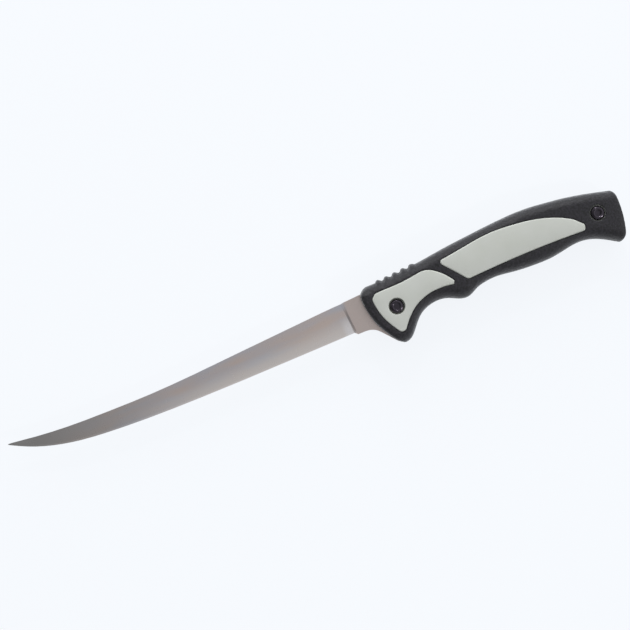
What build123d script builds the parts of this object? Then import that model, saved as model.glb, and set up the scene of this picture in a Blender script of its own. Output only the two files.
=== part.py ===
"""Fillet knife: a slim flexible blade whose tang is clamped by two bolts between two grip halves.

Each grip half is a hard grey core moulded into soft black rubber, and two raised pads of the core show
through windows in the rubber. The knife lies on its right side, the blade's point towards -X and its
spine towards +Y. The side view is drawn from the point where the blade's line meets the handle's front,
on the plane halfway through the knife's thickness.
"""

import os
from math import atan, cos, sin

from build123d import *

# Overall sizes, in millimetres
blade_length = 191.0
ricasso_depth = 17.5
handle_length = 137.0
handle_depth = 39.5
handle_thickness = 18.6

# Blade
spine_thickness = 2.0
tip_thickness = 0.9
edge_thickness = 0.4
bevel_height = 0.9
ricasso_length = 9.0
plunge_run = 1.2
choil_radius = 8.8
guard_tip_round = 0.8
tang_end_round = 2.5

# Grip
back_round = 4.6
belly_round = 6.0
end_round = 2.2
rubber_wall = 3.0
front_wall = 3.6
butt_wall = 5.0
core_corner_round = 1.5
pad_height = 3.0
pad_proud = 0.15
pad_edge_round = 0.6
opening_round = 0.4
bolt_mouth_round = 0.3
tang_clearance = 0.1
front_taper = 0.35
front_taper_run = 5.0
butt_taper = 0.6
butt_taper_run = 18.0

# Thumb ribs across the back
rib_count = 5
rib_pitch = 4.55
rib_height = 1.0
rib_crest = 0.6
rib_front_run = 1.2
rib_back_run = 2.4
rib_sink = 0.2
rib_side_margin = 0.8

# Bolts: a screw from the left side in a blind threaded barrel from the right
head_diameter = 7.0
head_height = 2.4
head_rim_height = 1.2
head_room = 0.65
barrel_diameter = 5.0
barrel_clearance = 0.15
barrel_end_gap = 1.1
barrel_floor = 1.8
screw_diameter = 4.0
screw_clearance = 0.05
screw_end_gap = 1.0
socket_flats = 3.0
socket_depth = 1.5

# Locating pegs on the left core, which pass through the tang into the right core
peg_diameter = 4.0
peg_reach = 3.4
peg_clearance = 0.15
peg_hole_clearance = 0.3

# Sharpening bevel's share of a blade section too small for the full bevel
bevel_limit_share = 0.25

# Lean of the line where the grind stops: its sideways run as a share of its height
plunge_lean_share = 0.075

# Heights on the blade as shares of the ricasso's depth
ricasso_spine_share = 0.177
entry_height_share = 0.211
heel_share = (0.162, -0.750)

# Ground blade: share of its length from the handle, then spine and edge as shares of the ricasso's depth
blade_shares = (
    (0.070, 0.158, -0.754),
    (0.160, 0.100, -0.772),
    (0.320, -0.010, -0.801),
    (0.480, -0.126, -0.815),
    (0.620, -0.187, -0.800),
    (0.740, -0.184, -0.742),
    (0.830, -0.160, -0.641),
    (0.895, -0.112, -0.489),
    (0.945, -0.054, -0.304),
    (0.980, -0.004, -0.127),
    (1.000, 0.014, -0.014),
)

# Back and belly of the handle, running on past its two ends
back_shares = (
    (-0.030, 0.1570),
    (0.070, 0.1560),
    (0.120, 0.1615),
    (0.175, 0.1765),
    (0.241, 0.1960),
    (0.299, 0.2215),
    (0.358, 0.2470),
    (0.416, 0.2660),
    (0.504, 0.2940),
    (0.562, 0.3090),
    (0.635, 0.3205),
    (0.708, 0.3105),
    (0.766, 0.2875),
    (0.810, 0.2685),
    (0.854, 0.2430),
    (0.898, 0.2115),
    (0.942, 0.1745),
    (1.030, 0.1000),
)
belly_shares = (
    (-0.030, -0.6480),
    (0.029, -0.6660),
    (0.066, -0.6800),
    (0.099, -0.6810),
    (0.120, -0.6570),
    (0.139, -0.6010),
    (0.155, -0.5250),
    (0.175, -0.4490),
    (0.204, -0.3850),
    (0.241, -0.3480),
    (0.270, -0.3443),
    (0.299, -0.3680),
    (0.328, -0.4127),
    (0.358, -0.4510),
    (0.387, -0.4152),
    (0.416, -0.3747),
    (0.460, -0.3425),
    (0.504, -0.3425),
    (0.562, -0.3680),
    (0.635, -0.3850),
    (0.708, -0.3805),
    (0.766, -0.3475),
    (0.810, -0.3280),
    (0.854, -0.3440),
    (0.898, -0.4035),
    (0.942, -0.4930),
    (1.030, -0.6300),
)

# Front and butt ends of the rubber, running on past its back and belly
front_end_shares = (
    (0.0234, 0.1823),
    (0.0044, 0.1089),
    (-0.0011, 0.0127),
    (0.0018, -0.1013),
    (0.0109, -0.2532),
    (0.0255, -0.3861),
    (0.0474, -0.5190),
    (0.0693, -0.6266),
    (0.0825, -0.6633),
    (0.1022, -0.6987),
)
butt_end_shares = (
    (0.9985, 0.2100),
    (1.0000, 0.0253),
    (0.9989, -0.1392),
    (0.9891, -0.3544),
    (0.9818, -0.4430),
    (0.9745, -0.4886),
    (0.9620, -0.5215),
    (0.9420, -0.5470),
)

# Guard's corner and tip, and the tang behind it
guard_corner_share = 0.0035
guard_tip_shares = (0.0730, -0.6450)
tang_top_shares = (
    (0.0080, 0.0886),
    (0.0220, 0.0253),
    (0.1460, 0.0253),
    (0.3650, 0.0911),
    (0.5840, 0.1266),
    (0.8030, 0.0709),
    (0.9450, 0.0200),
)
tang_bottom_shares = (
    (0.9450, -0.1750),
    (0.8030, -0.1595),
    (0.5840, -0.1266),
    (0.3650, -0.1873),
    (0.2040, -0.2633),
    (0.1610, -0.3165),
    (0.1310, -0.4051),
    (0.1000, -0.5900),
)

# Pads: each edge runs from one corner to the next
front_pad_top_shares = (
    (0.0354, 0.0329),
    (0.1095, 0.0367),
    (0.1825, 0.0500),
    (0.2226, 0.0700),
    (0.2409, 0.0747),
    (0.2628, 0.0595),
    (0.2847, 0.0152),
    (0.3139, -0.0759),
    (0.3468, -0.2418),
)
front_pad_bottom_shares = (
    (0.3468, -0.2418),
    (0.3139, -0.2152),
    (0.2701, -0.2063),
    (0.2409, -0.2152),
    (0.2117, -0.2418),
    (0.1825, -0.2861),
    (0.1533, -0.3582),
    (0.1241, -0.4633),
    (0.0980, -0.5870),
)
front_pad_front_shares = (
    (0.0980, -0.5870),
    (0.0657, -0.4063),
    (0.0511, -0.3051),
    (0.0401, -0.1772),
    (0.0354, -0.0696),
    (0.0354, 0.0329),
)
rear_pad_top_shares = (
    (0.3055, 0.1104),
    (0.3580, 0.1329),
    (0.4161, 0.1620),
    (0.4745, 0.1899),
    (0.5328, 0.2025),
    (0.5912, 0.1924),
    (0.6496, 0.1709),
    (0.7080, 0.1304),
    (0.7664, 0.0620),
    (0.8102, -0.0152),
    (0.8394, -0.0873),
    (0.8759, -0.2228),
)
rear_pad_bottom_shares = (
    (0.8759, -0.2228),
    (0.6496, -0.2025),
    (0.5036, -0.2127),
    (0.3887, -0.2329),
)
rear_pad_front_shares = (
    (0.3887, -0.2329),
    (0.3577, -0.0962),
    (0.3055, 0.1104),
)
front_pad_rounds = (2.2, 1.0, 2.4)
rear_pad_rounds = (1.2, 1.8, 1.5)

# Places along and up the handle
front_bolt_shares = (0.1095, -0.2152)
rear_bolt_shares = (0.9110, -0.0735)
peg_place_shares = ((0.3650, -0.0481), (0.6900, -0.0050))
first_rib_share = 0.0803

# Even sections along the handle, and halvings in a search for a height
grip_section_count = 30
halvings = 24

half_thickness = handle_thickness / 2
plate_top = half_thickness - pad_height
rubber_side = half_thickness - pad_proud
back_height = max(up for along, up in back_shares) * handle_depth

side_view = Plane(
    origin=(
        (blade_length - handle_length) / 2,
        handle_depth / 2 - back_height,
        half_thickness,
    )
)


def at(shares):
    """Point of the side view from shares of the handle's length and depth."""
    along, up = shares
    return (along * handle_length, up * handle_depth)


def along_handle(points):
    """Points of the side view from pairs of shares."""
    return [at(shares) for shares in points]


def cross_plane(x, lean=0):
    """Plane across the knife at x of the side view: its x runs up the side and its y to the left."""
    return Plane(
        origin=side_view.from_local_coords((x, 0, 0)),
        x_dir=(-sin(lean), cos(lean), 0),
        z_dir=(cos(lean), sin(lean), 0),
    )


def discs(places, diameter, height=0):
    """Discs at places of the side view, at a height to the left of it."""
    with BuildSketch(side_view.offset(height)) as circles:
        with Locations(*places):
            Circle(diameter / 2)
    return circles.sketch


def height_at(curve, x):
    """Height at x of a curve of the side view that runs towards the butt."""
    before, after = 0, 1
    for halving in range(halvings):
        middle = (before + after) / 2
        if (curve @ middle).X < x:
            before = middle
        else:
            after = middle
    return (curve @ before).Y


# Blade: ground from spine to edge, then a flat plate for the ricasso, guard and tang
def ground_section(plane, spine, edge, thickness):
    """Wedge section of the ground blade: flat spine, two flanks and the sharpening bevel."""
    shoulder = edge + min(bevel_height, (spine - edge) * bevel_limit_share)
    flank = min(edge_thickness, thickness) / 2
    with BuildSketch(plane) as section:
        with BuildLine():
            Polyline(
                (spine, -thickness / 2),
                (spine, thickness / 2),
                (shoulder, flank),
                (edge, 0),
                (shoulder, -flank),
                close=True,
            )
        make_face()
    return section.sketch


def flat_section(plane, top, bottom):
    """Section of the unground plate, with a point on its lower face where the edge will start."""
    with BuildSketch(plane) as section:
        with BuildLine():
            Polyline(
                (top, -spine_thickness / 2),
                (top, spine_thickness / 2),
                (bottom, spine_thickness / 2),
                (bottom, 0),
                (bottom, -spine_thickness / 2),
                close=True,
            )
        make_face()
    return section.sketch


plunge_lean = atan(plunge_lean_share)
ricasso_spine = ricasso_spine_share * ricasso_depth
ricasso_bottom = ricasso_spine - ricasso_depth
plunge_plane = cross_plane(-ricasso_length, plunge_lean)
heel_plane = cross_plane(-ricasso_length - plunge_run, plunge_lean)
heel_section = ground_section(
    heel_plane, heel_share[0] * ricasso_depth, heel_share[1] * ricasso_depth, spine_thickness
)
ground_sections = [heel_section]
for along, spine_share, edge_share in blade_shares:
    spine = spine_share * ricasso_depth
    edge = edge_share * ricasso_depth
    tapered = spine_thickness + (tip_thickness - spine_thickness) * along
    ground_sections.append(
        ground_section(cross_plane(-along * blade_length), spine, edge, min(tapered, spine - edge))
    )


def plunge_point(height):
    """Point of the side view on the line where the grind stops."""
    place = side_view.to_local_coords(plunge_plane.from_local_coords((height, 0, 0)))
    return (place.X, place.Y)


def plate_outline(room):
    """Outline of the flat plate of the ricasso, guard and tang, with room round what the grip holds."""
    heel = ricasso_bottom - room
    entry = (0, entry_height_share * ricasso_depth + room)
    shoulder, *tang_top = [(x + room, y + room) for x, y in along_handle(tang_top_shares)]
    tang_bottom = [(x + room, y - room) for x, y in along_handle(tang_bottom_shares)]
    guard_corner = (guard_corner_share * handle_length, heel)
    guard_tip = (guard_tip_shares[0] * handle_length, guard_tip_shares[1] * handle_depth - room)
    with BuildSketch(side_view) as outline:
        with BuildLine():
            Spline(*tang_top)
            Spline(*tang_bottom)
            Line(tang_top[-1], tang_bottom[0])
            Polyline(plunge_point(ricasso_spine), entry, shoulder, tang_top[0])
            Line(tang_bottom[-1], guard_tip)
            FilletPolyline(guard_tip, guard_corner, plunge_point(heel), radius=choil_radius)
            Line(plunge_point(heel), plunge_point(ricasso_spine))
        make_face()
        fillet(outline.vertices().sort_by(Axis.X)[-2:], tang_end_round)
        fillet(outline.vertices().sort_by_distance(guard_tip)[0], guard_tip_round)
    return outline.sketch


bolt_places = along_handle((front_bolt_shares, rear_bolt_shares))
bolt_hole_diameter = barrel_diameter + 2 * barrel_clearance
head_hole_diameter = head_diameter + 2 * head_room
peg_places = along_handle(peg_place_shares)
peg_hole_diameter = peg_diameter + 2 * peg_hole_clearance

with BuildPart() as blade:
    loft(sections=ground_sections)
    loft(
        sections=[heel_section, flat_section(plunge_plane, ricasso_spine, ricasso_bottom)],
        ruled=True,
    )
    extrude(plate_outline(0), amount=spine_thickness / 2, both=True)
    extrude(discs(bolt_places, bolt_hole_diameter), amount=spine_thickness, both=True, mode=Mode.SUBTRACT)
    extrude(discs(peg_places, peg_hole_diameter), amount=spine_thickness, both=True, mode=Mode.SUBTRACT)

# Shapes shared by the two grip halves, drawn for the left half
back_line = Spline(*along_handle(back_shares))
belly_line = Spline(*along_handle(belly_shares))


def side_at(x):
    """Half thickness of the rubber at x, which thins towards both ends of the handle."""
    into_front = max(0, 1 - x / front_taper_run)
    into_butt = max(0, 1 - (handle_length - x) / butt_taper_run)
    return rubber_side - front_taper * into_front**2 - butt_taper * into_butt**2


def grip_section(x):
    """Half section of the handle: flat at its side, elliptical towards its back and belly."""
    back = height_at(back_line, x)
    belly = height_at(belly_line, x)
    side = side_at(x)
    with BuildSketch(cross_plane(x)) as section:
        with BuildLine():
            Line((belly, 0), (back, 0))
            EllipticalCenterArc((back - back_round, 0), back_round, side, start_angle=0, arc_size=90)
            Line((back - back_round, side), (belly + belly_round, side))
            EllipticalCenterArc((belly + belly_round, 0), belly_round, side, start_angle=90, arc_size=90)
        make_face()
    return section.sketch


def rib_section(x, rise):
    """Half section of a rib, whose crest stands out of the back and fades out down the side."""
    back = height_at(back_line, x)
    middle = back - back_round
    side = rubber_side - rib_side_margin
    with BuildSketch(cross_plane(x)) as section:
        with BuildLine():
            Line((middle, 0), (back + rise, 0))
            EllipticalCenterArc((middle, 0), back_round + rise, side, start_angle=0, arc_size=90)
            Line((middle, side), (middle, 0))
        make_face()
    return section.sketch


def between_ends(front_inset, butt_inset):
    """Side view between the handle's two ends, each moved inwards, and open past its back and belly."""
    with BuildSketch(side_view) as region:
        with BuildLine():
            front = Spline(*[(x + front_inset, y) for x, y in along_handle(front_end_shares)])
            butt = Spline(*[(x - butt_inset, y) for x, y in along_handle(butt_end_shares)])
            for end, far in ((0, handle_depth), (1, -handle_depth)):
                here = front @ end
                there = butt @ end
                Polyline(here, (here.X, far), (there.X, far), there)
        make_face()
    return region


def pad_outline(edges, rounds):
    """Outline of a pad from the edges between its corners, with each corner rounded."""
    with BuildSketch(side_view) as outline:
        with BuildLine():
            for edge in edges:
                Spline(*along_handle(edge))
        make_face()
        for edge, radius in zip(edges, rounds):
            fillet(outline.vertices().sort_by_distance(at(edge[0]))[0], radius)
    return outline.sketch


pad_outlines = (
    pad_outline(
        (front_pad_top_shares, front_pad_bottom_shares, front_pad_front_shares),
        front_pad_rounds,
    ),
    pad_outline(
        (rear_pad_top_shares, rear_pad_bottom_shares, rear_pad_front_shares),
        rear_pad_rounds,
    ),
)

with BuildSketch(side_view) as core_outline:
    with BuildLine():
        core_back = Spline(*[(x, y - rubber_wall) for x, y in along_handle(back_shares)])
        core_belly = Spline(*[(x, y + rubber_wall) for x, y in along_handle(belly_shares)])
        Line(core_back @ 0, core_belly @ 0)
        Line(core_back @ 1, core_belly @ 1)
    make_face()
    add(between_ends(front_wall, butt_wall).sketch_local, mode=Mode.INTERSECT)
    fillet(core_outline.vertices(), core_corner_round)

tang_pocket = plate_outline(tang_clearance)
first_section = back_shares[0][0] * handle_length
last_section = back_shares[-1][0] * handle_length
section_step = (last_section - first_section) / (grip_section_count - 1)

with BuildPart() as grip_half:
    loft(sections=[grip_section(first_section + i * section_step) for i in range(grip_section_count)])
    extrude(between_ends(0, 0).sketch, amount=handle_thickness, mode=Mode.INTERSECT)
    for end in (0, -1):
        end_face = grip_half.faces().sort_by(Axis.X)[end]
        fillet(end_face.edges().sort_by(Axis.Z)[1:], end_round)
    for i in range(rib_count):
        front_of_crest = first_rib_share * handle_length + i * rib_pitch - rib_crest / 2
        loft(
            sections=[
                rib_section(front_of_crest - rib_front_run, -rib_sink),
                rib_section(front_of_crest, rib_height),
                rib_section(front_of_crest + rib_crest, rib_height),
                rib_section(front_of_crest + rib_crest + rib_back_run, -rib_sink),
            ]
        )


def over_plate(edge):
    """Whether an edge of the left half lies clear above the core's plate, and so at its outer side."""
    return edge.bounding_box().min.Z > half_thickness + plate_top + opening_round


# Cores: a plate inside the rubber with two pads that stand through it
with BuildPart() as core_half:
    extrude(core_outline.sketch, amount=plate_top)
    for outline in pad_outlines:
        extrude(outline, amount=half_thickness)
    fillet(core_half.faces().group_by(Axis.Z)[-1].edges(), pad_edge_round)
    extrude(tang_pocket, amount=spine_thickness / 2, mode=Mode.SUBTRACT)
    extrude(discs(bolt_places, bolt_hole_diameter), amount=handle_thickness, mode=Mode.SUBTRACT)
    extrude(
        discs(bolt_places, head_hole_diameter, plate_top),
        amount=handle_thickness,
        mode=Mode.SUBTRACT,
    )
    fillet(core_half.edges(Select.LAST).filter_by(over_plate), bolt_mouth_round)

with BuildPart() as left_handle_core:
    add(core_half.part)
    extrude(discs(peg_places, peg_diameter, spine_thickness / 2), amount=-spine_thickness / 2 - peg_reach)

with BuildPart() as right_handle_core:
    mirror(core_half.part, about=side_view)
    extrude(
        discs(peg_places, peg_diameter + 2 * peg_clearance),
        amount=-peg_reach - peg_clearance,
        mode=Mode.SUBTRACT,
    )

# Rubber round the cores, open over their pads and over the rear bolt's heads
with BuildPart() as left_rubber_grip:
    add(grip_half.part)
    extrude(core_outline.sketch, amount=plate_top, mode=Mode.SUBTRACT)
    extrude(tang_pocket, amount=spine_thickness / 2, mode=Mode.SUBTRACT)
    for opening in (*pad_outlines, discs(bolt_places[1:], head_hole_diameter)):
        extrude(opening, amount=handle_thickness, mode=Mode.SUBTRACT)
        fillet(left_rubber_grip.edges(Select.LAST).filter_by(over_plate), opening_round)

with BuildPart() as right_rubber_grip:
    mirror(left_rubber_grip.part, about=side_view)


# Bolts, whose heads seat on the plates of the cores
def headed_pin(place, diameter, reach):
    """Pin that enters from the left, with a domed head and a hexagon socket."""
    x, y = place
    axis_foot = side_view.from_local_coords((x, y, 0))
    rim = (head_diameter / 2, plate_top + head_rim_height)
    crown = (0, plate_top + head_height)
    with BuildPart() as pin:
        with BuildSketch(Plane(origin=axis_foot, x_dir=(1, 0, 0), z_dir=(0, -1, 0))):
            with BuildLine():
                Polyline(
                    crown,
                    (0, plate_top - reach),
                    (diameter / 2, plate_top - reach),
                    (diameter / 2, plate_top),
                    (head_diameter / 2, plate_top),
                    rim,
                )
                TangentArc(crown, rim, tangent=(1, 0))
            make_face()
        revolve(axis=Axis(axis_foot, (0, 0, 1)))
        with BuildSketch(side_view.offset(plate_top + head_height)):
            with Locations(place):
                RegularPolygon(socket_flats / 2, side_count=6, major_radius=False)
        extrude(amount=-socket_depth, mode=Mode.SUBTRACT)
    return pin.part


pieces = {
    "blade": blade.part,
    "left_handle_core": left_handle_core.part,
    "right_handle_core": right_handle_core.part,
    "left_rubber_grip": left_rubber_grip.part,
    "right_rubber_grip": right_rubber_grip.part,
}
bolt_length = 2 * plate_top
barrel_reach = bolt_length - barrel_end_gap
screw_reach = bolt_length - barrel_floor - screw_end_gap
for name, place in zip(("front", "rear"), bolt_places):
    with BuildPart() as barrel:
        mirror(headed_pin(place, barrel_diameter, barrel_reach), about=side_view)
        extrude(
            discs([place], screw_diameter + 2 * screw_clearance, barrel_reach - plate_top),
            amount=barrel_floor - barrel_reach,
            mode=Mode.SUBTRACT,
        )
    pieces[f"{name}_bolt_screw"] = headed_pin(place, screw_diameter, screw_reach)
    pieces[f"{name}_bolt_barrel"] = barrel.part

os.makedirs("parts", exist_ok=True)
for name, piece in pieces.items():
    piece.label = name
    export_step(piece, f"parts/{name}.step")
    print(name, round(piece.volume), "cubic millimetres")
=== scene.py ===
"""Looks of the fillet knife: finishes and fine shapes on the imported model, seen from straight above.

Metres are used for every place and size, so a size in millimetres is written as a number times mm.
"""

from math import cos, pi, radians, sin, sqrt

import bmesh
import bpy
from mathutils import Matrix, Vector
from mathutils.bvhtree import BVHTree


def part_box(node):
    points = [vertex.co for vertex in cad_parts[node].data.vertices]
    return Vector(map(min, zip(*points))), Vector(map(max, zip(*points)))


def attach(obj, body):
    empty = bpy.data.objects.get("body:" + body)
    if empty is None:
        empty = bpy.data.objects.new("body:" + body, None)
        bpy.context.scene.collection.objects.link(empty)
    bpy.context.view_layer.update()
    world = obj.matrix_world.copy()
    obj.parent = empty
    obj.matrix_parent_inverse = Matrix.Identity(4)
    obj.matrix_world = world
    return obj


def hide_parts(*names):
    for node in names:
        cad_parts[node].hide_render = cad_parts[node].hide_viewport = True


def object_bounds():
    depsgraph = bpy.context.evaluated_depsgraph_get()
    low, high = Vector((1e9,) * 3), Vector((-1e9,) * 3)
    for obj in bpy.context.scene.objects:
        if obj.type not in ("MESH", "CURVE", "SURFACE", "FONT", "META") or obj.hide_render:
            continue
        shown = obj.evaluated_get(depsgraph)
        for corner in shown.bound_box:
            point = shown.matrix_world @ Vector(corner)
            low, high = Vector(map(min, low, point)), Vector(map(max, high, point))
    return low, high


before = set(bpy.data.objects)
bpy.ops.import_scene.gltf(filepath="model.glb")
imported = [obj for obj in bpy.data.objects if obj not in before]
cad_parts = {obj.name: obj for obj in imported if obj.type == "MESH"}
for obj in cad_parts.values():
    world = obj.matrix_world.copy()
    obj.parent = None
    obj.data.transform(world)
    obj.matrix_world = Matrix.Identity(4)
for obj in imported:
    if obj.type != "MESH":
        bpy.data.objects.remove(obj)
cad_box = [list(corner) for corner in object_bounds()]

mm = 0.001
body = "root"

# Height of the middle plane, where the grip halves meet, from the frame's box
middle = (cad_box[0][2] + cad_box[1][2]) / 2

# Camera: straight above the knife's left side, turned so that the blade points down to the left. Its lens and
# sensor are in millimetres, as Blender takes them.
knife_rise = radians(22)
view_centre = (2.7 * mm, 9.75 * mm)
view_width = 315.5 * mm
lens = 100
sensor = 36

# Room, where a strength of 1 is white. The back wall, at the top of the view, is the bright one, and the
# ceiling is dimmer past the point than over the handle. A side is the way to the bright end, and a fade holds
# the cosines to it between which the strength rises. Glossy faces mirror the room no brighter than the
# mirrored strength, which keeps them off white, and the camera sees the backdrop's strength all round.
background_colour = "F8FBFF"
dim_wall_strength = 0.4
bright_wall_strength = 3.3
wall_side = (0.37, 0.93, 0)
wall_fade = (-0.3, 1)
dim_ceiling_strength = 0.16
bright_ceiling_strength = 0.6
ceiling_side = (0.82, -0.57, 0)
ceiling_fade = (-0.27, 0.1)
mirrored_strength = 0.85
backdrop_strength = 0.97

# Floor, just below the knife so that their faces don't coincide. Its glow share is what it gives out by
# itself to the camera and in mirrors, and the rest is lit and shows the knife's shadow.
floor_radius = 4.0
floor_gap = 0.02 * mm
floor_sides = 96
floor_glow_share = 0.9

# Softboxes: place, length of a side and radiance of each, and the place on the handle that they aim at
softboxes = {
    "back_softbox": ((0.3, 1.0, 0.36), 0.34, 8),
    "back_lamp": ((0.3, 1.0, 0.75), 0.1, 60),
    "side_lamp": ((0.75, -0.7, 0.9), 0.1, 80),
}
lamp_aim = (0.06, 0, 0)

# Meshes: corners closer than the merge distance are joined, and an edge looks sharp where its faces turn by
# more than the piece's angle, which they never do on a blank
merge_distance = 0.0001 * mm
sharp_angles = {
    "blade": radians(5),
    "core": radians(35),
    "grip": radians(40),
    "bolt": radians(32),
    "blank": pi,
}

# Blade, whose flanks thin from spine to edge
blade_point, blade_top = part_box("blade")[0][0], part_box("blade")[1][2]
heel_x = 17.0 * mm
spine_half = blade_top - middle
point_half = 0.45 * mm
edge_half = 0.2 * mm

# Stretches along the blade over which its tint changes: away from the painted dark reflection at the point,
# into the painted reflection that lightens the lower flank, into the painted highlight just in front of the
# plunge, and into the flat ricasso. The painted reflection on the lower flank starts a share of the way down
# the flank.
dark_reflection_fade = (-150 * mm, -80 * mm)
painted_reflection_fade = (-115 * mm, -50 * mm)
painted_reflection_start_share = 0.35
painted_highlight_fade = (heel_x - 4.5 * mm, heel_x - 2 * mm)
ricasso_fade = (heel_x, heel_x + 2 * mm)

# Rubber skin: how finely it is split, how far its border fades, how it is smoothed, more strongly behind the
# ribs, and how far from it another face has to be for it to lie open
grain_edge_length = 0.5 * mm
split_passes = 3
border_rings = 2
skin_level = 0.99
smoothing_share = 0.5
smoothing_rounds = 2
plain_smoothing_rounds = 45
ribs_end = 62 * mm
ray_start = 0.02 * mm
clear_distance = 3 * mm
own_clear_distance = 0.8 * mm

# Moulded grain, whose real pitch of about 0.3 mm is drawn coarser so that it shows, and the line where the
# mould parted
grain_size = 1.3 * mm
grain_depth = 0.26 * mm
seam_width = 0.3 * mm
seam_depth = 0.15 * mm

# Thumb ribs, counted from the front, with the valleys between them as shares of the pitch behind a crest
rib_count = 5
rib_pitch = 4.55 * mm
first_crest = 38.0 * mm
valley_start_share = 0.1
valley_end_share = 0.7
valley_depth = 0.5 * mm

# Corner between the handle's front and its back, which is drawn in by the shift both ways, less and less out
# to the reach
front_corner = (28.5 * mm, 12.9 * mm)
corner_reach = 3.4 * mm
corner_shift = 0.55 * mm

# Stretches of the pads' outlines that the mould draws otherwise than the CAD does. Each is a line in the side
# view, how far off it the draw dies away, and the draw on the line, all in millimetres. Only what is at least
# the draw level from the middle plane is drawn.
pad_draws = {
    "front pad's front corner": ((31.8, 8.7), (31.8, 8.7), 3.6, (0.62, -0.75)),
    "front pad's tip": ((74.3, -1.9), (74.3, -1.9), 2.6, (-1.0, 0.3)),
    "rear pad's front edge": ((71.0, 8.9), (78.9, -0.6), 2.6, (-0.32, -0.27)),
    "top edge at the rear pad's tip": ((143.5, 2.5), (143.5, 2.5), 6.5, (-0.75, -0.1)),
    "rear pad's tip": ((145.2, -0.5), (145.2, -0.5), 4.2, (-1.1, 0.7)),
}
draw_level = 6.0 * mm

# Groove where the rubber meets a pad, which is at least the pad level from the middle plane
groove_width = 0.9 * mm
groove_depth = 0.45 * mm
pad_level = 8.0 * mm

# Bolts: head, socket and shanks. The head's dome is a quarter ellipse made fuller by a power of its radius.
head_radius = 3.5 * mm
head_height = 2.3 * mm
rim_height = 1.2 * mm
dome_steps = 14
dome_power = 0.77
mouth_radius = 1.95 * mm
mouth_floor_radius = 1.62 * mm
mouth_depth = 0.3 * mm
socket_flats = 3.0 * mm
socket_depth = 1.3 * mm
shank_radius = {"screw": 2.0 * mm, "barrel": 2.5 * mm}
bore_radius = 2.05 * mm
bore_floor = 1.8 * mm
seat_below_crown = 2.2 * mm
turned_sides = 72
hexagon_sides = 6


def linear(code):
    """Linear colour of an sRGB hex value."""
    channels = [int(code[i : i + 2], 16) / 255 for i in (0, 2, 4)]
    return (*[c / 12.92 if c <= 0.04045 else ((c + 0.055) / 1.055) ** 2.4 for c in channels], 1)


def eased(share):
    """Share from 0 to 1 that leaves and arrives gently."""
    return share * share * (3 - 2 * share)


def add(tree, kind, sources=None, **settings):
    """A new node with its settings, and its inputs set to values or linked to other nodes' outputs.

    A mix node takes its two values at inputs 2 and 3, and its two colours at inputs 6 and 7.
    """
    made = tree.nodes.new(kind)
    for name, value in settings.items():
        setattr(made, name, value)
    for key, source in (sources or {}).items():
        if isinstance(source, bpy.types.Node):
            source = source.outputs[0]
        if isinstance(source, bpy.types.NodeSocket):
            tree.links.new(source, made.inputs[key])
        else:
            made.inputs[key].default_value = source
    return made


def new_material(name):
    """Empty node material and its tree."""
    material = bpy.data.materials.new(name)
    material.use_nodes = True
    material.node_tree.nodes.clear()
    return material, material.node_tree


# Camera
def make_camera():
    """Long-lens camera above the knife."""
    data = bpy.data.cameras.new("camera")
    data.lens = lens
    data.sensor_width = sensor
    camera = bpy.data.objects.new("camera", data)
    camera.location = (*view_centre, middle + view_width * lens / sensor)
    camera.rotation_euler = (0, 0, -knife_rise)
    bpy.context.scene.collection.objects.link(camera)
    bpy.context.scene.camera = camera


# Light
def make_world():
    """Pale room: a bright back wall, and a ceiling whose bright half the flat steel mirrors near the handle.

    Glossy and transmission rays see it held below white, and camera rays see the even backdrop.
    """
    world = bpy.data.worlds.new("studio")
    bpy.context.scene.world = world
    world.use_nodes = True
    tree = world.node_tree
    tree.nodes.clear()
    direction = add(tree, "ShaderNodeTexCoord").outputs["Generated"]
    height = add(tree, "ShaderNodeSeparateXYZ", {0: direction}).outputs["Z"]
    aside = add(tree, "ShaderNodeVectorMath", {0: direction, 1: ceiling_side}, operation="DOT_PRODUCT")
    ceiling = add(
        tree,
        "ShaderNodeMapRange",
        {
            "Value": aside.outputs["Value"],
            "From Min": ceiling_fade[0],
            "From Max": ceiling_fade[1],
            "To Min": dim_ceiling_strength,
            "To Max": bright_ceiling_strength,
        },
        interpolation_type="SMOOTHSTEP",
    )
    back = add(tree, "ShaderNodeVectorMath", {0: direction, 1: wall_side}, operation="DOT_PRODUCT")
    wall = add(
        tree,
        "ShaderNodeMapRange",
        {
            "Value": back.outputs["Value"],
            "From Min": wall_fade[0],
            "From Max": wall_fade[1],
            "To Min": dim_wall_strength,
            "To Max": bright_wall_strength,
        },
    )
    strength = add(tree, "ShaderNodeMapRange", {"Value": height, "To Min": wall, "To Max": ceiling})
    paths = add(tree, "ShaderNodeLightPath").outputs
    shiny = add(
        tree,
        "ShaderNodeMath",
        {0: paths["Is Glossy Ray"], 1: paths["Is Transmission Ray"]},
        operation="MAXIMUM",
    )
    mirrored = add(tree, "ShaderNodeMath", {0: strength, 1: mirrored_strength}, operation="MINIMUM")
    strength = add(tree, "ShaderNodeMix", {0: shiny, 2: strength, 3: mirrored})
    strength = add(tree, "ShaderNodeMix", {0: paths["Is Camera Ray"], 2: strength, 3: backdrop_strength})
    shader = add(tree, "ShaderNodeBackground", {"Color": linear(background_colour), "Strength": strength})
    add(tree, "ShaderNodeOutputWorld", {"Surface": shader})


def make_softbox(name, place, aim, size, radiance):
    """Square softbox at a place, turned to a point, of a given radiance."""
    data = bpy.data.lights.new(name, "AREA")
    data.shape = "SQUARE"
    data.size = size
    data.energy = radiance * pi * size * size
    box = bpy.data.objects.new(name, data)
    box.location = place
    box.rotation_euler = (Vector(aim) - Vector(place)).to_track_quat("-Z", "Y").to_euler()
    box.visible_camera = False
    bpy.context.scene.collection.objects.link(box)


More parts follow.
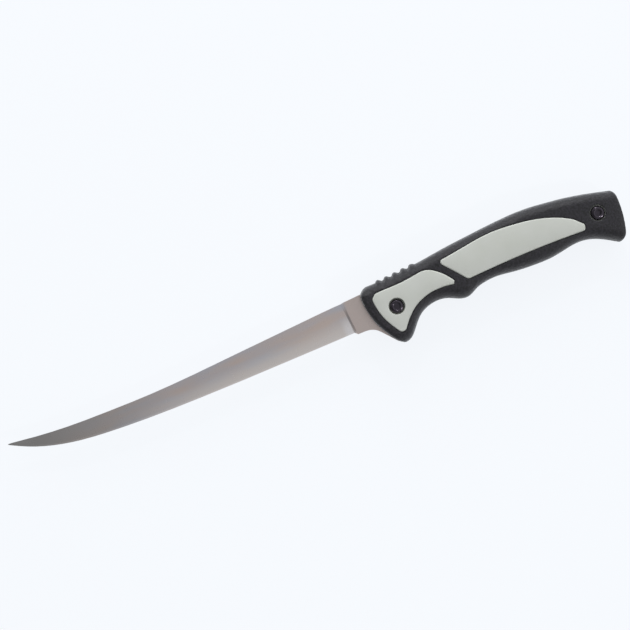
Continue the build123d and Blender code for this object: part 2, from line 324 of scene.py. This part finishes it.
def make_floor():
    """Round pale table top, which glows to the camera and in mirrors, and keeps a faint shadow."""
    mesh = bpy.data.meshes.new("floor")
    work = bmesh.new()
    sunk = Matrix.Translation((0, 0, -floor_gap))
    bmesh.ops.create_circle(work, cap_ends=True, segments=floor_sides, radius=floor_radius, matrix=sunk)
    work.to_mesh(mesh)
    work.free()
    material, tree = new_material("pale laminate")
    colour = linear(background_colour)
    paths = add(tree, "ShaderNodeLightPath").outputs
    seen = add(
        tree,
        "ShaderNodeMath",
        {0: paths["Is Camera Ray"], 1: paths["Is Glossy Ray"]},
        operation="MAXIMUM",
    )
    seen = add(tree, "ShaderNodeMath", {0: seen, 1: paths["Is Transmission Ray"]}, operation="MAXIMUM")
    share = add(tree, "ShaderNodeMath", {0: seen, 1: floor_glow_share}, operation="MULTIPLY")
    matt = add(tree, "ShaderNodeBsdfDiffuse", {"Color": colour})
    glow = add(tree, "ShaderNodeEmission", {"Color": colour, "Strength": 1.0})
    mixed = add(tree, "ShaderNodeMixShader", {0: share, 1: matt, 2: glow})
    add(tree, "ShaderNodeOutputMaterial", {"Surface": mixed})
    mesh.materials.append(material)
    floor = bpy.data.objects.new("floor", mesh)
    bpy.context.scene.collection.objects.link(floor)


def make_light():
    """View, world, softboxes and floor."""
    bpy.context.scene.view_settings.view_transform = "Standard"
    make_world()
    for name, (place, size, radiance) in softboxes.items():
        make_softbox(name, place, lamp_aim, size, radiance)
    make_floor()


# Materials
def ground_steel():
    """Stainless steel, belt ground from spine to edge: fine lines across the blade spread its shine along it,
    and the heat tint drifts from warm to cool. Reflection is painted into the tint as well: darker towards
    the point, lighter on the lower flank, and a painted highlight on the lower flank just in front of the
    plunge."""
    warm_tint = linear("DAC9C0")
    cool_tint = linear("CBCBD2")
    # Painted dark reflection, which the tint keeps towards the point
    point_dark_reflection_tint = linear("B2AEAB")
    # Painted reflection, lightening the lower flank
    painted_reflection_tint = linear("EDE4DE")
    # Painted highlight on the lower flank just in front of the plunge
    painted_highlight_tint = linear("F6F1F0")
    ricasso_tint = linear("DACBC4")
    drift_ends = (0.32, 0.68)
    roughness = (0.24, 0.34)
    # Real grinding lines are about 0.06 mm apart, drawn at 0.35 mm so that they show
    line_pitch = 0.35 * mm
    line_length = 12 * mm
    line_depth = 0.02 * mm
    streak_length = 34 * mm
    streak_width = 7 * mm

    material, tree = new_material("belt-ground stainless steel")
    place = add(tree, "ShaderNodeTexCoord").outputs["Object"]
    axes = add(tree, "ShaderNodeSeparateXYZ", {0: place}).outputs
    scale = (1 / line_pitch, 1 / line_length, 1 / line_length)
    stretched = add(tree, "ShaderNodeMapping", {"Vector": place, "Scale": scale})
    lines = add(tree, "ShaderNodeTexNoise", {"Vector": stretched, "Scale": 1.0, "Detail": 3.0})
    scale = (1 / streak_length, 1 / streak_width, 1 / streak_width)
    stretched = add(tree, "ShaderNodeMapping", {"Vector": place, "Scale": scale})
    streaks = add(tree, "ShaderNodeTexNoise", {"Vector": stretched, "Scale": 1.0, "Detail": 2.0})

    # Share of the way down the flank, from the half thickness at each place
    level = add(tree, "ShaderNodeMath", {0: axes["Z"], 1: middle}, operation="SUBTRACT")
    depth = add(tree, "ShaderNodeMath", {0: level}, operation="ABSOLUTE")
    half = add(
        tree,
        "ShaderNodeMapRange",
        {
            "Value": axes["X"],
            "From Min": blade_point,
            "From Max": heel_x,
            "To Min": point_half,
            "To Max": spine_half,
        },
    )
    down = add(tree, "ShaderNodeMapRange", {"Value": depth, "From Min": half, "From Max": edge_half})
    low = add(
        tree,
        "ShaderNodeMapRange",
        {"Value": down, "From Min": painted_reflection_start_share},
        interpolation_type="SMOOTHSTEP",
    )

    # How far each change of the tint, the painted reflections and the painted highlight among them, has come
    # at each place along the blade
    # The painted dark reflection at the point gives way to the heat tint along here
    past_dark_reflection = add(
        tree, "ShaderNodeMapRange", {"Value": axes["X"], "From Min": dark_reflection_fade[0], "From Max": dark_reflection_fade[1]}
    )
    # Painted reflection on the lower flank, fading in along the blade
    painted_reflection = add(
        tree,
        "ShaderNodeMapRange",
        {"Value": axes["X"], "From Min": painted_reflection_fade[0], "From Max": painted_reflection_fade[1]},
        interpolation_type="SMOOTHSTEP",
    )
    painted_reflection = add(tree, "ShaderNodeMath", {0: low, 1: painted_reflection}, operation="MULTIPLY")
    # Painted highlight on the lower flank just in front of the plunge
    painted_highlight = add(
        tree,
        "ShaderNodeMapRange",
        {"Value": axes["X"], "From Min": painted_highlight_fade[0], "From Max": painted_highlight_fade[1]},
    )
    painted_highlight = add(tree, "ShaderNodeMath", {0: low, 1: painted_highlight}, operation="MULTIPLY")
    ricasso = add(
        tree,
        "ShaderNodeMapRange",
        {"Value": axes["X"], "From Min": ricasso_fade[0], "From Max": ricasso_fade[1]},
    )

    # Tints, each laid over those before it by its share
    drift = add(
        tree,
        "ShaderNodeMapRange",
        {"Value": streaks.outputs["Fac"], "From Min": drift_ends[0], "From Max": drift_ends[1]},
    )
    tint = point_dark_reflection_tint
    heat_tint = add(tree, "ShaderNodeMix", {"Factor": drift, 6: warm_tint, 7: cool_tint}, data_type="RGBA")
    layers = (
        (past_dark_reflection, heat_tint.outputs[2]),
        (painted_reflection, painted_reflection_tint),
        (painted_highlight, painted_highlight_tint),
        (ricasso, ricasso_tint),
    )
    for share, layer in layers:
        tint = add(tree, "ShaderNodeMix", {"Factor": share, 6: tint, 7: layer}, data_type="RGBA").outputs[2]

    rough = add(
        tree,
        "ShaderNodeMapRange",
        {"Value": lines.outputs["Fac"], "To Min": roughness[0], "To Max": roughness[1]},
    )
    bump = add(
        tree, "ShaderNodeBump", {"Height": lines.outputs["Fac"], "Strength": 0.12, "Distance": line_depth}
    )
    shader = add(
        tree,
        "ShaderNodeBsdfPrincipled",
        {"Base Color": tint, "Metallic": 1.0, "Roughness": rough, "Normal": bump},
    )
    add(tree, "ShaderNodeOutputMaterial", {"Surface": shader})
    return material


def moulded_rubber():
    """Soft black thermoplastic rubber from a spark-eroded mould: dull, with a fine dry grain whose dusty
    bloom turns steep sides paler, and a mottle of painted shade in its pits and painted light on its crests."""
    # Painted shade for the pits and painted light for the crests
    painted_pit_shade_tint = linear("0A090C")
    painted_crest_light_tint = linear("221F26")
    shade_ends = (0.35, 0.65)
    roughness = (0.46, 0.72)
    # Real pits are about 0.3 mm apart, with a finer grain between them, and both are drawn coarser to show.
    # The pits' noise paints shade into the pits and light onto the crests.
    pit_pitch = 0.9 * mm
    grain_pitch = 0.45 * mm
    bump_height = 0.12 * mm

    material, tree = new_material("grained black rubber")
    place = add(tree, "ShaderNodeTexCoord").outputs["Object"]
    grain = add(tree, "ShaderNodeTexNoise", {"Vector": place, "Scale": 1 / grain_pitch, "Detail": 2.0})
    pits = add(tree, "ShaderNodeTexNoise", {"Vector": place, "Scale": 1 / pit_pitch, "Detail": 1.0})
    shade = add(
        tree,
        "ShaderNodeMapRange",
        {"Value": pits.outputs["Fac"], "From Min": shade_ends[0], "From Max": shade_ends[1]},
    )
    tint = add(tree, "ShaderNodeMix", {"Factor": shade, 6: painted_pit_shade_tint, 7: painted_crest_light_tint}, data_type="RGBA")
    rough = add(
        tree,
        "ShaderNodeMapRange",
        {"Value": grain.outputs["Fac"], "To Min": roughness[0], "To Max": roughness[1]},
    )
    bump = add(
        tree, "ShaderNodeBump", {"Height": grain.outputs["Fac"], "Strength": 0.8, "Distance": bump_height}
    )
    shader = add(
        tree,
        "ShaderNodeBsdfPrincipled",
        {
            "Base Color": tint.outputs[2],
            "Roughness": rough,
            "IOR": 1.5,
            "Sheen Weight": 0.7,
            "Sheen Roughness": 0.26,
            "Normal": bump,
        },
    )
    add(tree, "ShaderNodeOutputMaterial", {"Surface": shader})
    return material


def moulded_nylon():
    """Glass-filled nylon in pale grey, from a finely eroded mould: matt, with a faint mottle."""
    warm_tint = linear("BBBDB3")
    pale_tint = linear("C5C6C0")
    roughness = (0.5, 0.62)
    # Real grain is about 0.1 mm apart, drawn at 0.35 mm so that it shows
    grain_pitch = 0.35 * mm
    mottle_pitch = 11 * mm
    bump_height = 0.02 * mm

    material, tree = new_material("moulded grey nylon")
    place = add(tree, "ShaderNodeTexCoord").outputs["Object"]
    grain = add(tree, "ShaderNodeTexNoise", {"Vector": place, "Scale": 1 / grain_pitch, "Detail": 2.0})
    mottle = add(tree, "ShaderNodeTexNoise", {"Vector": place, "Scale": 1 / mottle_pitch, "Detail": 3.0})
    tint = add(
        tree,
        "ShaderNodeMix",
        {"Factor": mottle.outputs["Fac"], 6: warm_tint, 7: pale_tint},
        data_type="RGBA",
    )
    rough = add(
        tree,
        "ShaderNodeMapRange",
        {"Value": grain.outputs["Fac"], "To Min": roughness[0], "To Max": roughness[1]},
    )
    bump = add(
        tree, "ShaderNodeBump", {"Height": grain.outputs["Fac"], "Strength": 0.3, "Distance": bump_height}
    )
    shader = add(
        tree,
        "ShaderNodeBsdfPrincipled",
        {"Base Color": tint.outputs[2], "Roughness": rough, "IOR": 1.52, "Normal": bump},
    )
    add(tree, "ShaderNodeOutputMaterial", {"Surface": shader})
    return material


def blackened_steel():
    """Black oxide on turned steel: near black with a violet cast, and soft bright glints on its rims."""
    dark_tint = linear("3A373A")
    violet_tint = linear("544E57")
    roughness = (0.14, 0.28)
    cloud_pitch = 1.2 * mm

    material, tree = new_material("blackened steel")
    place = add(tree, "ShaderNodeTexCoord").outputs["Object"]
    clouds = add(tree, "ShaderNodeTexNoise", {"Vector": place, "Scale": 1 / cloud_pitch, "Detail": 3.0})
    rough = add(
        tree,
        "ShaderNodeMapRange",
        {"Value": clouds.outputs["Fac"], "To Min": roughness[0], "To Max": roughness[1]},
    )
    tint = add(
        tree,
        "ShaderNodeMix",
        {"Factor": clouds.outputs["Fac"], 6: dark_tint, 7: violet_tint},
        data_type="RGBA",
    )
    shader = add(
        tree,
        "ShaderNodeBsdfPrincipled",
        {"Base Color": tint.outputs[2], "Metallic": 1.0, "Roughness": rough},
    )
    add(tree, "ShaderNodeOutputMaterial", {"Surface": shader})
    return material


# Geometry Nodes trees
def new_tree(name, inputs):
    """Geometry Nodes tree with a geometry in and out and named inputs, and the sockets that give these."""
    tree = bpy.data.node_groups.new(name, "GeometryNodeTree")
    tree.interface.new_socket("Geometry", in_out="INPUT", socket_type="NodeSocketGeometry")
    for title, kind in inputs.items():
        tree.interface.new_socket(title, in_out="INPUT", socket_type=kind)
    tree.interface.new_socket("Geometry", in_out="OUTPUT", socket_type="NodeSocketGeometry")
    return tree, tree.nodes.new("NodeGroupInput").outputs


def end_tree(tree, geometry, finish):
    """Realizes the instances, sets the material and closes the tree."""
    solid = add(tree, "GeometryNodeRealizeInstances", {"Geometry": geometry})
    coated = add(tree, "GeometryNodeSetMaterial", {"Geometry": solid, "Material": finish})
    add(tree, "NodeGroupOutput", {"Geometry": coated})


def applied(piece, tree, values):
    """Plain mesh of a piece with a tree's modifier on it, whose inputs get values by name."""
    modifier = piece.modifiers.new("shape", "NODES")
    modifier.node_group = tree
    for item in tree.interface.items_tree:
        if item.in_out == "INPUT" and item.name in values:
            modifier[item.identifier] = values[item.name]
    bpy.context.view_layer.update()
    shaped = piece.evaluated_get(bpy.context.evaluated_depsgraph_get())
    mesh = bpy.data.meshes.new_from_object(shaped)
    piece.modifiers.remove(modifier)
    return mesh


def grain_tree():
    """Moulded grain pressed into a skin where its grain attribute is up, and the fine line where the mould
    parted."""
    kinds = {
        "Grain size": "NodeSocketFloat",
        "Grain depth": "NodeSocketFloat",
        "Seam level": "NodeSocketFloat",
        "Seam width": "NodeSocketFloat",
        "Seam depth": "NodeSocketFloat",
        "Seed": "NodeSocketFloat",
        "Finish": "NodeSocketMaterial",
    }
    tree, given = new_tree("moulded grain", kinds)
    place = add(tree, "GeometryNodeInputPosition")
    mask = add(tree, "GeometryNodeInputNamedAttribute", {"Name": "grain"}, data_type="FLOAT")
    scale = add(tree, "ShaderNodeMath", {0: 1.0, 1: given["Grain size"]}, operation="DIVIDE")
    noise = add(
        tree,
        "ShaderNodeTexNoise",
        {"Vector": place, "W": given["Seed"], "Scale": scale, "Detail": 1.0},
        noise_dimensions="4D",
    ).outputs["Fac"]
    grain = add(tree, "ShaderNodeMath", {0: noise, 1: given["Grain depth"]}, operation="MULTIPLY")

    # The line is a bell curve round the seam's level
    height = add(tree, "ShaderNodeSeparateXYZ", {0: place}).outputs["Z"]
    away = add(tree, "ShaderNodeMath", {0: height, 1: given["Seam level"]}, operation="SUBTRACT")
    away = add(tree, "ShaderNodeMath", {0: away, 1: given["Seam width"]}, operation="DIVIDE")
    away = add(tree, "ShaderNodeMath", {0: away, 1: 2.0}, operation="POWER")
    near = add(tree, "ShaderNodeMath", {0: 0.0, 1: away}, operation="SUBTRACT")
    near = add(tree, "ShaderNodeMath", {0: near}, operation="EXPONENT")
    seam = add(tree, "ShaderNodeMath", {0: near, 1: given["Seam depth"]}, operation="MULTIPLY")
    sunk = add(tree, "ShaderNodeMath", {0: grain, 1: seam}, operation="ADD")
    sunk = add(tree, "ShaderNodeMath", {0: sunk, 1: mask.outputs["Attribute"]}, operation="MULTIPLY")
    inward = add(tree, "ShaderNodeMath", {0: 0.0, 1: sunk}, operation="SUBTRACT")
    normal = add(tree, "GeometryNodeInputNormal")
    offset = add(tree, "ShaderNodeVectorMath", {0: normal, "Scale": inward}, operation="SCALE")
    pressed = add(tree, "GeometryNodeSetPosition", {"Geometry": given["Geometry"], "Offset": offset})
    end_tree(tree, pressed, given["Finish"])
    return tree


def turned_tree():
    """Turned bolt: a profile of edges in the XZ plane is spun round Z, and a hexagon socket is cut in its
    top."""
    kinds = {
        "Sides": "NodeSocketInt",
        "Socket flats": "NodeSocketFloat",
        "Socket floor": "NodeSocketFloat",
        "Socket depth": "NodeSocketFloat",
        "Finish": "NodeSocketMaterial",
    }
    tree, given = new_tree("turned bolt", kinds)
    profile = given["Geometry"]
    size = add(tree, "GeometryNodeAttributeDomainSize", {"Geometry": profile}, component="MESH")
    count = size.outputs["Point Count"]
    columns = add(tree, "ShaderNodeMath", {0: given["Sides"], 1: 1.0}, operation="ADD")
    grid = add(tree, "GeometryNodeMeshGrid", {"Vertices X": columns, "Vertices Y": count})

    # Each column of the grid is the profile, turned a little further
    index = add(tree, "GeometryNodeInputIndex")
    row = add(tree, "ShaderNodeMath", {0: index, 1: count}, operation="FLOORED_MODULO")
    column = add(tree, "ShaderNodeMath", {0: index, 1: count}, operation="DIVIDE")
    column = add(tree, "ShaderNodeMath", {0: column}, operation="FLOOR")
    turn = add(tree, "ShaderNodeMath", {0: column, 1: given["Sides"]}, operation="DIVIDE")
    angle = add(tree, "ShaderNodeMath", {0: turn, 1: 2 * pi}, operation="MULTIPLY")
    place = add(tree, "GeometryNodeInputPosition")
    point = add(
        tree,
        "GeometryNodeSampleIndex",
        {"Geometry": profile, "Value": place, "Index": row},
        data_type="FLOAT_VECTOR",
    )
    spun = add(tree, "ShaderNodeVectorRotate", {"Vector": point, "Angle": angle}, rotation_type="Z_AXIS")
    skin = add(tree, "GeometryNodeSetPosition", {"Geometry": grid, "Position": spun})
    closed = add(tree, "GeometryNodeMergeByDistance", {"Geometry": skin, "Distance": merge_distance})

    # The socket is cut by a hexagonal key of twice its depth, half of which stands above its mouth
    radius = add(tree, "ShaderNodeMath", {0: given["Socket flats"], 1: sqrt(3)}, operation="DIVIDE")
    length = add(tree, "ShaderNodeMath", {0: given["Socket depth"], 1: 2.0}, operation="MULTIPLY")
    sizes = {"Vertices": hexagon_sides, "Radius": radius, "Depth": length}
    key = add(tree, "GeometryNodeMeshCylinder", sizes)
    level = add(tree, "ShaderNodeMath", {0: given["Socket floor"], 1: given["Socket depth"]}, operation="ADD")
    lifted = add(tree, "ShaderNodeCombineXYZ", {"Z": level})
    key = add(tree, "GeometryNodeTransform", {"Geometry": key, "Translation": lifted})
    cut = add(tree, "GeometryNodeMeshBoolean", {0: closed, 1: key}, operation="DIFFERENCE", solver="EXACT")
    end_tree(tree, cut.outputs["Mesh"], given["Finish"])
    return tree


# Meshes
def joined_copy(node):
    """bmesh of a CAD node with its loose triangles joined."""
    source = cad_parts[node].data
    work = bmesh.new()
    corners = [work.verts.new(vertex.co) for vertex in source.vertices]
    for polygon in source.polygons:
        work.faces.new([corners[i] for i in polygon.vertices])
    bmesh.ops.remove_doubles(work, verts=work.verts, dist=merge_distance)
    bmesh.ops.dissolve_degenerate(work, edges=work.edges, dist=merge_distance)
    work.normal_update()
    return work


def place_piece(name, mesh, sharp_angle):
    """Object of a mesh at the origin, shaded smooth except over sharp edges."""
    mesh.name = name
    mesh.shade_smooth()
    mesh.set_sharp_from_angle(angle=sharp_angle)
    piece = bpy.data.objects.new(name, mesh)
    bpy.context.scene.collection.objects.link(piece)
    return piece


def mesh_of(work, material):
    """Mesh of a finished bmesh with its material."""
    mesh = bpy.data.meshes.new("made")
    work.to_mesh(mesh)
    work.free()
    mesh.materials.append(material)
    return mesh


def hand_over(piece, node):
    """Shows a piece in place of its CAD node."""
    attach(piece, body)
    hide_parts(node)


# Rubber skin
def surroundings(node):
    """Search tree of the faces of all the other CAD nodes."""
    corners = []
    faces = []
    for name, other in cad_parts.items():
        if name != node:
            start = len(corners)
            corners += [vertex.co for vertex in other.data.vertices]
            faces += [[start + i for i in polygon.vertices] for polygon in other.data.polygons]
    return BVHTree.FromPolygons(corners, faces)


def mark_open_faces(work, node):
    """Face layer that is 1 where nothing lies close over the surface, so that a hand could touch it."""
    others = surroundings(node)
    own = BVHTree.FromBMesh(work)
    layer = work.faces.layers.int.new("open")
    for face in work.faces:
        place = face.calc_center_median()
        step = ray_start * face.normal
        # A ray to the other pieces starts just inside, so that it meets one that touches
        covered = others.ray_cast(place - step, face.normal, clear_distance)[0]
        covered = covered or own.ray_cast(place + step, face.normal, own_clear_distance)[0]
        face[layer] = covered is None
    return layer


def borders_open(element, layer):
    """Whether a corner or an edge has an open face beside it."""
    return any(face[layer] for face in element.link_faces)


def drop_folds(work):
    """Deletes pairs of faces on the same corners, which slivers leave back to back when they are split."""
    twins = {}
    for face in work.faces:
        twins.setdefault(frozenset(face.verts), []).append(face)
    folds = [face for faces in twins.values() for face in faces[: len(faces) // 2 * 2]]
    bmesh.ops.delete(work, geom=folds, context="FACES")


def split_open_faces(work, layer):
    """Splits the open faces until their edges are short enough to carry the grain."""
    for _ in range(split_passes):
        beside = [edge for edge in work.edges if borders_open(edge, layer)]
        long = [edge for edge in beside if edge.calc_length() > grain_edge_length]
        bmesh.ops.subdivide_edges(work, edges=long, cuts=1)
        bmesh.ops.triangulate(work, faces=[face for face in work.faces if len(face.verts) > 3])
        drop_folds(work)


def write_grain_mask(work, layer):
    """Point attribute that is 1 on open skin and falls to 0 towards its border."""
    mask = work.verts.layers.float.new("grain")
    for vert in work.verts:
        vert[mask] = float(all(face[layer] for face in vert.link_faces))
    for _ in range(border_rings):
        softened = []
        for vert in work.verts:
            around = [edge.other_vert(vert)[mask] for edge in vert.link_edges]
            softened.append(min(vert[mask], sum(around) / len(around)))
        for vert, value in zip(work.verts, softened):
            vert[mask] = value
    return mask


def draw_pads(work):
    """Draws the pads' outlines, or the openings round them, to where the mould has them."""
    outer = [vert for vert in work.verts if abs(vert.co.z - middle) >= draw_level]
    for start, end, reach, shift in pad_draws.values():
        origin = Vector(start) * mm
        run = Vector(end) * mm - origin
        for vert in outer:
            along = (vert.co.xy - origin).dot(run) / run.length_squared if run.length else 0
            foot = origin + min(1, max(0, along)) * run
            near = 1 - (vert.co.xy - foot).length / (reach * mm)
            if near > 0:
                vert.co.x += shift[0] * mm * eased(near)
                vert.co.y += shift[1] * mm * eased(near)


def press_groove(work, core):
    """Lowers the rubber where it meets the pads of its core, so that their rims stand clear."""
    pads = BVHTree.FromPolygons(
        [vertex.co for vertex in core.vertices], [list(polygon.vertices) for polygon in core.polygons]
    )
    for vert in work.verts:
        level = vert.co.z - middle
        if abs(level) <= pad_level:
            continue
        *_, gap = pads.find_nearest(vert.co, groove_width)
        if gap is not None:
            fall = groove_depth * (1 - gap / groove_width) ** 2
            vert.co.z -= fall if level > 0 else -fall


def ease_corner(work, layer):
    """Draws in the corner at the front of the back, which is rounder than the CAD outline."""
    for vert in work.verts:
        near = 1 - (vert.co.xy - Vector(front_corner)).length / corner_reach
        if near > 0 and borders_open(vert, layer):
            shift = corner_shift * eased(near)
            vert.co.x += shift
            vert.co.y -= shift


def press_valleys(work, layer):
    """Hollows the back between the thumb ribs, so that each rib stands up as a narrow tooth."""
    work.normal_update()
    for vert in work.verts:
        ribs_passed = (vert.co.x - first_crest) / rib_pitch
        share = (ribs_passed % 1 - valley_start_share) / (valley_end_share - valley_start_share)
        if 0 < ribs_passed < rib_count - 1 and 0 < share < 1 and borders_open(vert, layer):
            vert.co.y -= valley_depth * sin(pi * share) * max(0, vert.normal.y)


# Pieces
def make_grip(side, core, rubber, tree, seed):
    """Rubber grip half with its moulded grain, its parting line and the grooves round the core's pads."""
    node = f"{side}_rubber_grip"
    work = joined_copy(node)
    layer = mark_open_faces(work, node)
    split_open_faces(work, layer)
    draw_pads(work)
    ease_corner(work, layer)
    press_valleys(work, layer)
    mask = write_grain_mask(work, layer)
    skin = [vert for vert in work.verts if vert[mask] > skin_level]
    plain_skin = [vert for vert in skin if vert.co.x > ribs_end]
    for verts, rounds, aside in ((skin, smoothing_rounds, True), (plain_skin, plain_smoothing_rounds, False)):
        for _ in range(rounds):
            bmesh.ops.smooth_vert(
                work, verts=verts, factor=smoothing_share, use_axis_x=aside, use_axis_y=aside, use_axis_z=True
            )
    press_groove(work, core)
    blank = place_piece("grip_blank", mesh_of(work, rubber), sharp_angles["blank"])
    values = {
        "Grain size": grain_size,
        "Grain depth": grain_depth,
        "Seam level": middle,
        "Seam width": seam_width,
        "Seam depth": seam_depth,
        "Seed": seed,
        "Finish": rubber,
    }
    mesh = applied(blank, tree, values)
    bpy.data.objects.remove(blank)
    print(node, len(mesh.polygons), "faces")
    hand_over(place_piece(f"{side}_grained_grip", mesh, sharp_angles["grip"]), node)


def make_core(side, nylon):
    """Grey core, whose pads and their rounded rims show through the rubber."""
    node = f"{side}_handle_core"
    work = joined_copy(node)
    draw_pads(work)
    mesh = mesh_of(work, nylon)
    hand_over(place_piece(f"{side}_moulded_core", mesh, sharp_angles["core"]), node)
    return mesh


def bolt_profile(part, reach):
    """Half outline of a bolt with its seat at height 0, from the socket's mouth round to the axis again."""
    rise = head_height - rim_height
    dome = []
    for step in range(dome_steps + 1):
        angle = pi / 2 * step / dome_steps
        radius = head_radius * sin(angle) ** dome_power
        if radius > mouth_radius:
            dome.append((radius, rim_height + rise * cos(angle)))
    mouth = dome[0][1] - mouth_depth
    radius = shank_radius[part]
    points = [(0, mouth), (mouth_floor_radius, mouth), *dome, (head_radius, 0), (radius, 0), (radius, -reach)]
    if part == "barrel":
        points += [(bore_radius, -reach), (bore_radius, -bore_floor)]
    return [*points, (0, points[-1][1])], mouth


def make_bolt(end, part, black, tree):
    """Screw from the left side or barrel from the right, in place of its CAD node."""
    node = f"{end}_bolt_{part}"
    low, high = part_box(node)
    reach = high[2] - low[2] - seat_below_crown
    points, mouth = bolt_profile(part, reach)
    work = bmesh.new()
    line = [work.verts.new((radius, 0, height)) for radius, height in points]
    for before, after in zip(line, line[1:]):
        work.edges.new((before, after))
    blank = place_piece("bolt_blank", mesh_of(work, black), sharp_angles["blank"])
    values = {
        "Sides": turned_sides,
        "Socket flats": socket_flats,
        "Socket floor": mouth - socket_depth,
        "Socket depth": socket_depth,
        "Finish": black,
    }
    mesh = applied(blank, tree, values)
    bpy.data.objects.remove(blank)
    work = bmesh.new()
    work.from_mesh(mesh)
    bmesh.ops.remove_doubles(work, verts=work.verts, dist=merge_distance)
    bmesh.ops.recalc_face_normals(work, faces=work.faces)
    # Both are made crown up, so the barrel is turned over
    centre = Vector(((low[0] + high[0]) / 2, (low[1] + high[1]) / 2, 0))
    if part == "screw":
        centre.z = high[2] - seat_below_crown
        work.transform(Matrix.Translation(centre))
    else:
        centre.z = low[2] + seat_below_crown
        work.transform(Matrix.Translation(centre) @ Matrix.Rotation(pi, 4, "X"))
    work.to_mesh(mesh)
    work.free()
    print(node, len(mesh.polygons), "faces")
    hand_over(place_piece(f"{end}_turned_{part}", mesh, sharp_angles["bolt"]), node)


def make_blade(steel):
    """Blade with its ground flanks, honed bevel, flat ricasso, guard and tang."""
    mesh = mesh_of(joined_copy("blade"), steel)
    hand_over(place_piece("ground_blade", mesh, sharp_angles["blade"]), "blade")


# Whole knife
make_camera()
make_light()
make_blade(ground_steel())
rubber = moulded_rubber()
nylon = moulded_nylon()
black = blackened_steel()
grain = grain_tree()
turned = turned_tree()
for seed, side in enumerate(("left", "right")):
    core = make_core(side, nylon)
    make_grip(side, core, rubber, grain, seed)
for end in ("front", "rear"):
    for part in ("screw", "barrel"):
        make_bolt(end, part, black, turned)
